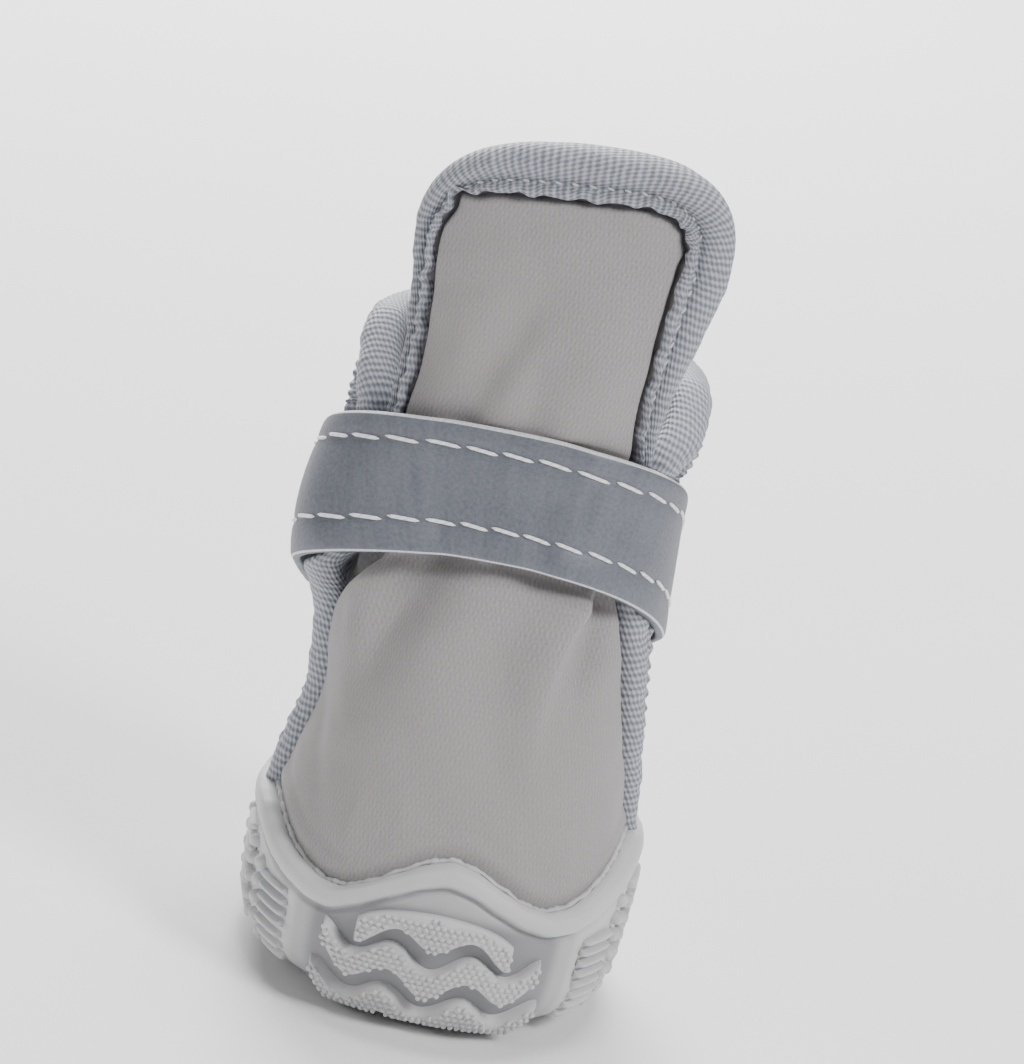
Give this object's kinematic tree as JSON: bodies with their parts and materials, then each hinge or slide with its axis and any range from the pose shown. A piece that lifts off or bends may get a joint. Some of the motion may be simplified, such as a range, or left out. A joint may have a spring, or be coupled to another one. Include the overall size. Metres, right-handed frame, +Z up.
{
  "type": "dog boot",
  "caption": "Small dog boot: open soft-shell upper with a tall tongue and taped edges, an ankle strap with a hook-and-loop end, and a ribbed rubber cup sole.",
  "frame": {"origin": "on the ground under the middle of the sole, on the flat bottom of the middle tread bar", "axes": "+Z up, toe towards -Y, heel towards +Y, the strap's free end on the -X side"},
  "size_m": [0.0459, 0.0548, 0.0995],
  "materials": {
    "rubber": "matte moulded rubber, light grey",
    "sock": "brushed foam-backed fabric",
    "soft_shell": "fine knit face, warm grey, fleece back",
    "tape": "woven oxford tape, cool grey",
    "webbing": "coated reflective face, slate grey, satin",
    "closure": "hook-and-loop pile"
  },
  "bodies": {
    "root": {"outsole": "rubber", "insole": "sock", "upper": "soft_shell", "tongue_binding": "tape", "quarter_binding": "tape", "strap": "webbing", "loop_patch": "closure", "hook_patch": "closure"}
  },
  "joints": []
}
